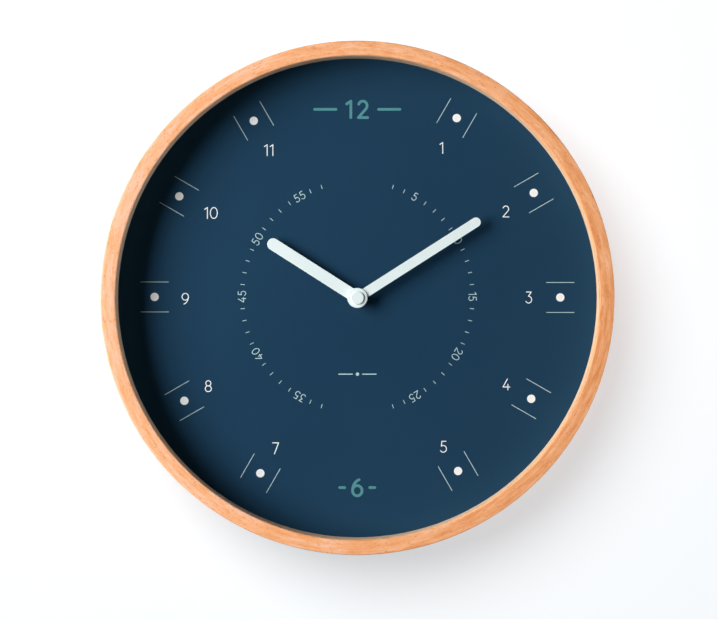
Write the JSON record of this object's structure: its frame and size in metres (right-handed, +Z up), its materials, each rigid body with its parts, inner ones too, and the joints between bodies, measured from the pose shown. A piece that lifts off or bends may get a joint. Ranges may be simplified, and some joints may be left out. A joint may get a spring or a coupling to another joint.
{
  "type": "wall clock",
  "caption": "Round wall clock with a bent wood rim, a dark dial under flat glass, two hands, and a quartz movement with its gear train, battery and keyhole hanger.",
  "frame": {"origin": "on the clock's axis, in the plane of the wall that the rim's back face rests on", "axes": "+Y from the dial back into the wall, +Z up to twelve o'clock, +X to three o'clock"},
  "size_m": [0.3, 0.044, 0.3],
  "materials": {
    "bent_wood": "satin clear varnish over fine straight grain",
    "clear_glass": "clear flat float glass",
    "printed_dial": "hardboard with a matt dark blue printed face",
    "zinc_steel": "bright zinc plate",
    "black_rubber": "matt",
    "turned_brass": "turned",
    "black_plastic": "fine moulded texture",
    "white_plastic": "smooth moulded",
    "battery_sleeve": "plain printed sleeve on a steel can",
    "board_laminate": "brown paper laminate",
    "black_resin": "potted resin",
    "copper_wire": "enamelled wire, wound close",
    "soft_iron": "plain stamped",
    "ferrite": "plain sintered",
    "hand_enamel": "off-white satin enamel"
  },
  "bodies": {
    "case": {"rim": "bent_wood", "spacer_hoop": "bent_wood", "glass": "clear_glass", "dial_board": "printed_dial", "framing_points": "zinc_steel", "hanger_plate": "zinc_steel", "rubber_pad": "black_rubber", "brass_washer": "turned_brass", "hex_nut": "turned_brass", "movement_base": "black_plastic", "movement_cover": "black_plastic", "gear_plate": "white_plastic", "battery": "battery_sleeve", "contact_positive": "zinc_steel", "contact_negative": "zinc_steel", "circuit_board": "board_laminate", "driver_chip": "black_resin", "quartz_crystal": "zinc_steel", "coil_bobbin": "white_plastic", "coil_winding": "copper_wire", "coil_core": "soft_iron", "stator": "soft_iron"},
    "minute_group": {"minute_arbor": "turned_brass", "minute_hand": "hand_enamel", "minute_collet": "turned_brass", "hand_cap": "hand_enamel"},
    "hour_group": {"hour_wheel": "white_plastic", "hour_hand": "hand_enamel", "hour_collet": "turned_brass"},
    "setting_group": {"minute_wheel": "white_plastic", "setting_knob": "black_plastic"},
    "rotor_group": {"rotor_pinion": "white_plastic", "rotor_magnet": "ferrite"},
    "step_group": {"step_wheel": "white_plastic"},
    "third_group": {"third_wheel": "white_plastic"},
    "centre_group": {"centre_wheel": "white_plastic"}
  },
  "joints": [
    {"name": "minute_spin", "type": "hinge", "parent": "case", "child": "minute_group", "pos_m": [0, 0, 0], "axis": [0, 1, 0], "continuous": true},
    {"name": "hour_spin", "type": "hinge", "parent": "case", "child": "hour_group", "pos_m": [0, 0, 0], "axis": [0, 1, 0], "continuous": true},
    {"name": "setting_spin", "type": "hinge", "parent": "case", "child": "setting_group", "pos_m": [0.01137, 0, -0.0008], "axis": [0, 1, 0], "continuous": true},
    {"name": "centre_spin", "type": "hinge", "parent": "case", "child": "centre_group", "pos_m": [0, 0, 0], "axis": [0, 1, 0], "continuous": true},
    {"name": "third_spin", "type": "hinge", "parent": "case", "child": "third_group", "pos_m": [-0.0108, 0, -0.00019], "axis": [0, 1, 0], "continuous": true},
    {"name": "step_spin", "type": "hinge", "parent": "case", "child": "step_group", "pos_m": [-0.00666, 0, 0.00869], "axis": [0, 1, 0], "continuous": true},
    {"name": "rotor_spin", "type": "hinge", "parent": "case", "child": "rotor_group", "pos_m": [-0.014, 0, 0.01277], "axis": [0, 1, 0], "continuous": true}
  ],
  "couplings": [
    {"joint": "hour_spin", "follows": "minute_spin", "ratio": 0.083333},
    {"joint": "setting_spin", "follows": "minute_spin", "ratio": -0.33333},
    {"joint": "step_spin", "follows": "rotor_spin", "ratio": -0.25},
    {"joint": "third_spin", "follows": "rotor_spin", "ratio": 0.05},
    {"joint": "centre_spin", "follows": "rotor_spin", "ratio": -0.0083333}
  ]
}
